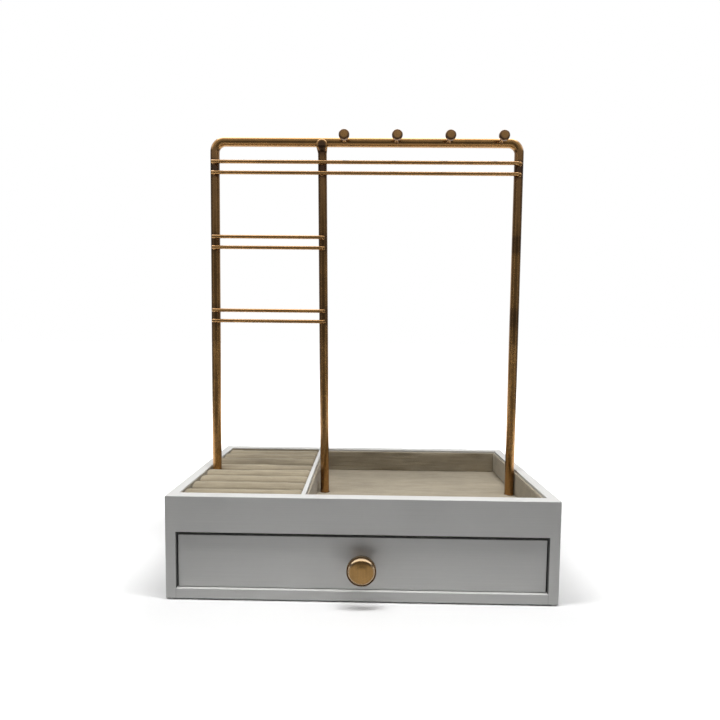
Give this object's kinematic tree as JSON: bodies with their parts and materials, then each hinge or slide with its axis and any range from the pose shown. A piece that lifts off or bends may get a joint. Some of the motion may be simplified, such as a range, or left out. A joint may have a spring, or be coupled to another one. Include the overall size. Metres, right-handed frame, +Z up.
{
  "type": "jewellery stand with drawer",
  "caption": "Jewellery stand: a low painted box with a lined tray, ring rolls and a sliding drawer carries an upright metal frame with earring bars and necklace hooks.",
  "frame": {"origin": "on the table, under the centre of the base box", "axes": "+Z up, -Y to the front where the drawer opens, +X to the right seen from the front"},
  "size_m": [0.3, 0.1625, 0.3824],
  "materials": {
    "painted_board": "satin white paint on wooden board",
    "plain_board": "plain sanded board",
    "dowel": "plain",
    "tray_felt": "felt on thin card",
    "roll_felt": "felt over foam",
    "card": "plain",
    "base_felt": "felt",
    "drawer_felt": "felt on thin card",
    "bumper_rubber": "satin",
    "antique_brass": "antique brass plating, glossy",
    "knob_metal": "antiqued, glossy",
    "zinc_steel": "zinc plated",
    "plug_plastic": "plain"
  },
  "bodies": {
    "stand": {"side_panel_left": "painted_board", "side_panel_right": "painted_board", "front_rail": "painted_board", "back_panel": "painted_board", "bottom_panel": "painted_board", "tray_floor": "plain_board", "divider": "painted_board", "carcass_dowels": "dowel", "base_felt": "base_felt", "stop_bumpers": "bumper_rubber", "tray_felt": "tray_felt", "liner_right": "tray_felt", "liner_back": "tray_felt", "liner_front": "tray_felt", "liner_divider": "tray_felt", "roll_card": "card", "left_post": "antique_brass", "right_post": "antique_brass", "left_corner_bend": "antique_brass", "right_corner_bend": "antique_brass", "top_rail": "antique_brass", "mid_post": "antique_brass", "post_plugs": "plug_plastic", "post_screws": "zinc_steel", "ring_roll_1": "roll_felt", "ring_roll_2": "roll_felt", "ring_roll_3": "roll_felt", "ring_roll_4": "roll_felt", "ring_roll_5": "roll_felt", "ring_roll_6": "roll_felt", "ring_roll_7": "roll_felt", "ring_roll_8": "roll_felt", "bar_1_upper": "antique_brass", "bar_1_lower": "antique_brass", "bar_2_upper": "antique_brass", "bar_2_lower": "antique_brass", "bar_3_upper": "antique_brass", "bar_3_lower": "antique_brass", "hook_1": "antique_brass", "hook_2": "antique_brass", "hook_3": "antique_brass", "hook_4": "antique_brass"},
    "drawer": {"drawer_front": "painted_board", "drawer_side_left": "plain_board", "drawer_side_right": "plain_board", "drawer_back": "plain_board", "drawer_bottom": "plain_board", "drawer_lining": "drawer_felt", "knob": "knob_metal", "knob_screw": "zinc_steel", "knob_washer": "zinc_steel"}
  },
  "joints": [
    {"name": "drawer_slide", "type": "slide", "parent": "stand", "child": "drawer", "axis": [0, -1, 0], "range_m": [0, 0.11]}
  ]
}
